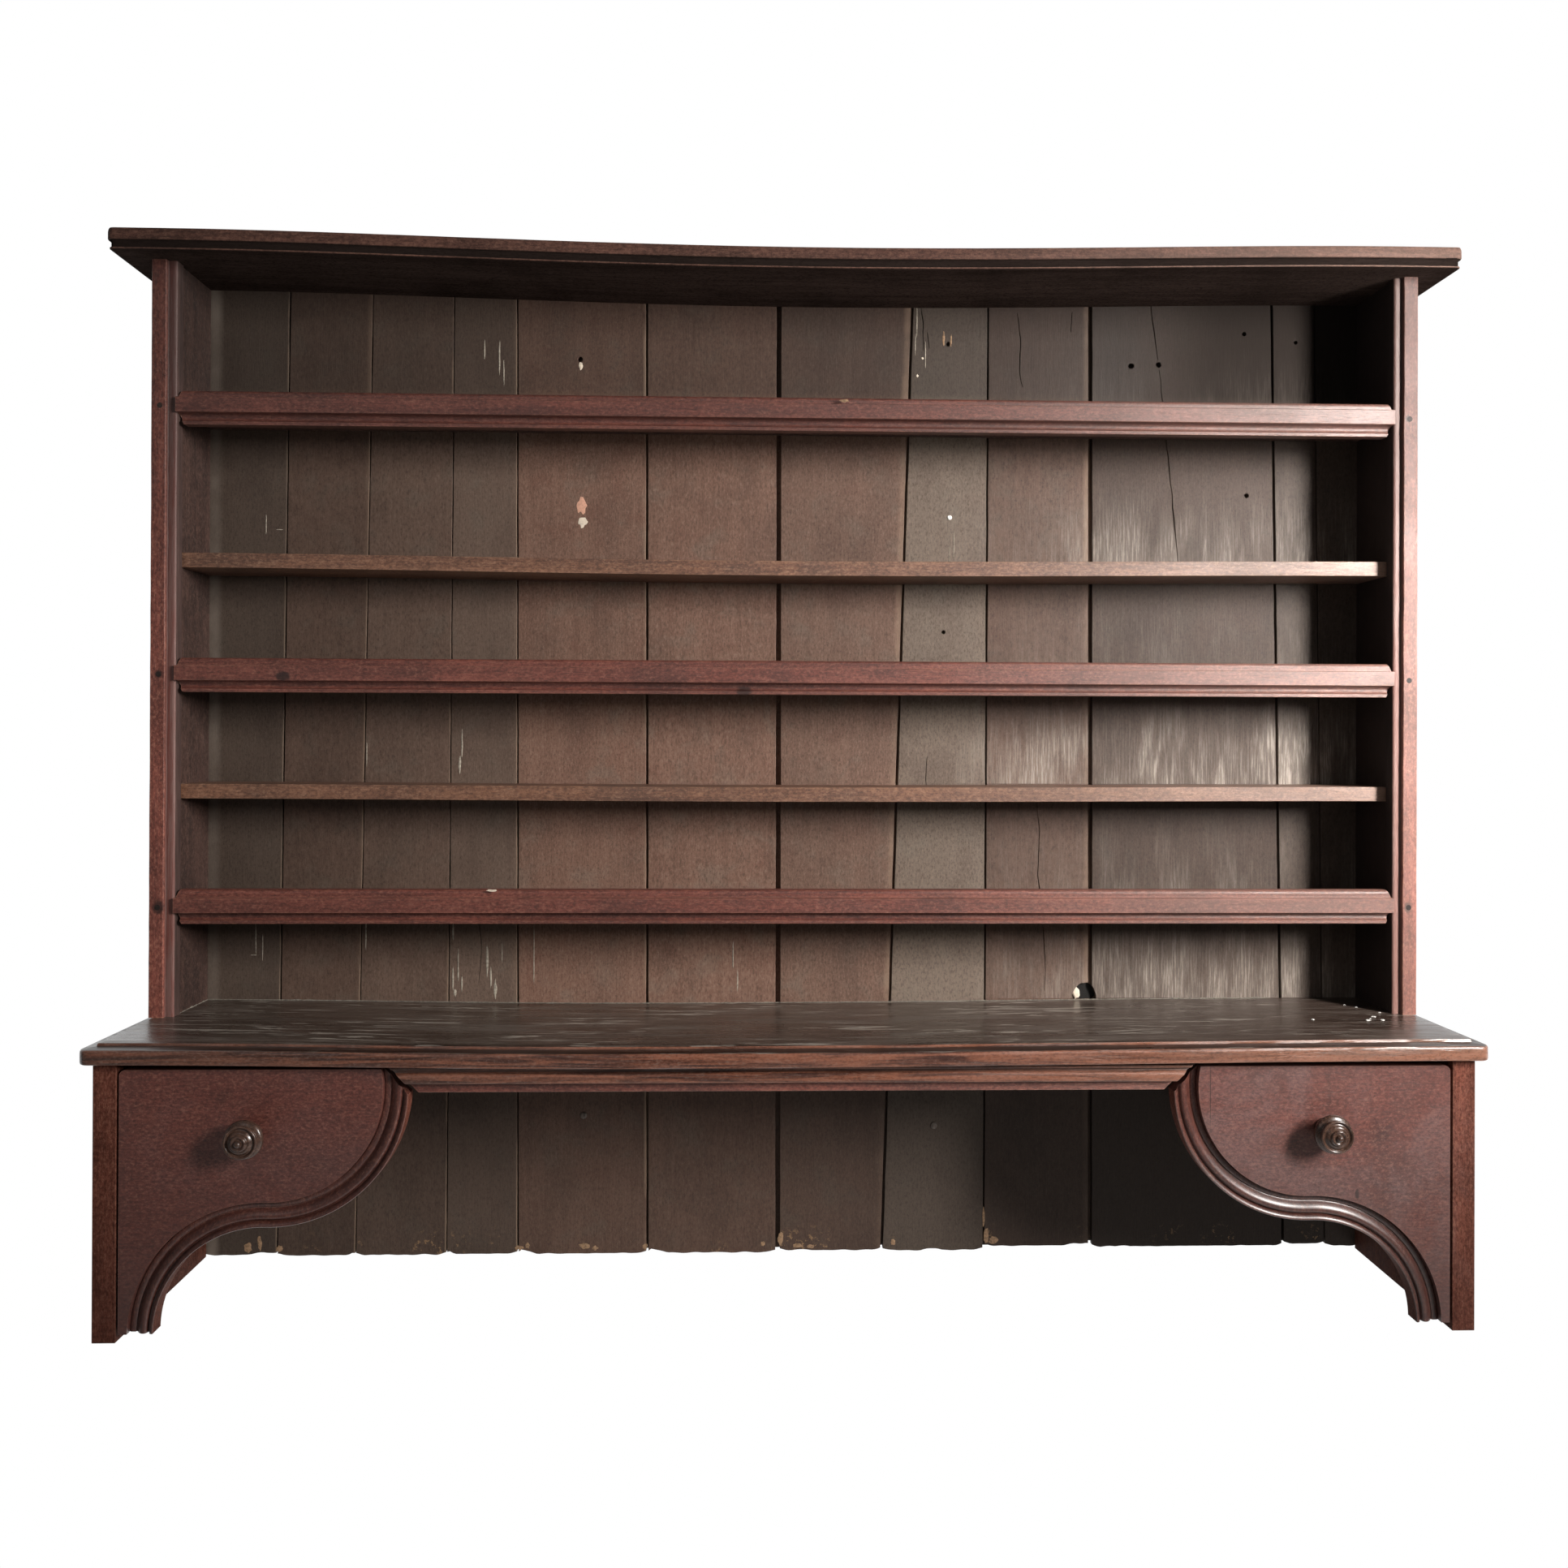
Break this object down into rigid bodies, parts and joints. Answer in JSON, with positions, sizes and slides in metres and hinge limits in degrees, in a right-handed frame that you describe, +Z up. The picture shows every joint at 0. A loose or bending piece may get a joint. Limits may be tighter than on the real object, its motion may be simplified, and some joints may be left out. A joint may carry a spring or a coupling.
{
  "type": "wall rack with drawers",
  "caption": "Open wooden wall rack with plate rails, plain shelves, plank back, deep moulded worktop and a scroll-fronted spice drawer at each end.",
  "frame": {"origin": "on the wall plane, on the centre line, level with the top of the worktop at its ends", "axes": "+X to the right seen from the front, +Y into the wall, +Z up; the front faces -Y"},
  "size_m": [1.7, 0.283, 1.328],
  "materials": {
    "dark_case": "old dark stain, dull wax",
    "red_wood": "red-brown stain, waxed",
    "peg_wood": "dark end grain",
    "shelf_wood": "dull stain, dusty",
    "oak_shelf": "stained oak, worn edges",
    "worktop_wood": "dark wax with pale scratches",
    "board_wood": "dry, matt, worn stain",
    "inner_wood": "bare softwood, aged",
    "drawer_wood": "red-brown stain, satin wax",
    "knob_wood": "turned and polished"
  },
  "bodies": {
    "rack": {"cornice_board": "dark_case", "side_board_left": "dark_case", "side_board_right": "dark_case", "stile_left": "red_wood", "stile_right": "red_wood", "stile_pegs": "peg_wood", "rail_high": "red_wood", "rail_mid": "red_wood", "rail_low": "red_wood", "rail_shelf_high": "shelf_wood", "rail_shelf_mid": "shelf_wood", "rail_shelf_low": "shelf_wood", "plain_shelf_high": "oak_shelf", "plain_shelf_low": "oak_shelf", "worktop": "worktop_wood", "back_board_01": "board_wood", "back_board_02": "board_wood", "back_board_03": "board_wood", "back_board_04": "board_wood", "back_board_05": "board_wood", "back_board_06": "board_wood", "back_board_07": "board_wood", "back_board_08": "board_wood", "back_board_09": "board_wood", "back_board_10": "board_wood", "back_board_11": "board_wood", "back_board_12": "board_wood", "base_panel_left": "red_wood", "base_panel_right": "red_wood", "apron_board": "red_wood", "apron_moulding": "red_wood", "divider_left": "inner_wood", "divider_right": "inner_wood", "runner_left_outer": "inner_wood", "runner_left_inner": "inner_wood", "runner_right_outer": "inner_wood", "runner_right_inner": "inner_wood"},
    "drawer_left": {"drawer_left_front": "drawer_wood", "drawer_left_moulding": "drawer_wood", "drawer_left_outer_side": "inner_wood", "drawer_left_inner_side": "inner_wood", "drawer_left_back": "inner_wood", "drawer_left_bottom": "inner_wood", "drawer_left_knob": "knob_wood"},
    "drawer_right": {"drawer_right_front": "drawer_wood", "drawer_right_moulding": "drawer_wood", "drawer_right_outer_side": "inner_wood", "drawer_right_inner_side": "inner_wood", "drawer_right_back": "inner_wood", "drawer_right_bottom": "inner_wood", "drawer_right_knob": "knob_wood"}
  },
  "joints": [
    {"name": "drawer_left_slide", "type": "slide", "parent": "rack", "child": "drawer_left", "axis": [0, -1, 0], "range_m": [0, 0.15]},
    {"name": "drawer_right_slide", "type": "slide", "parent": "rack", "child": "drawer_right", "axis": [0, -1, 0], "range_m": [0, 0.15]}
  ]
}
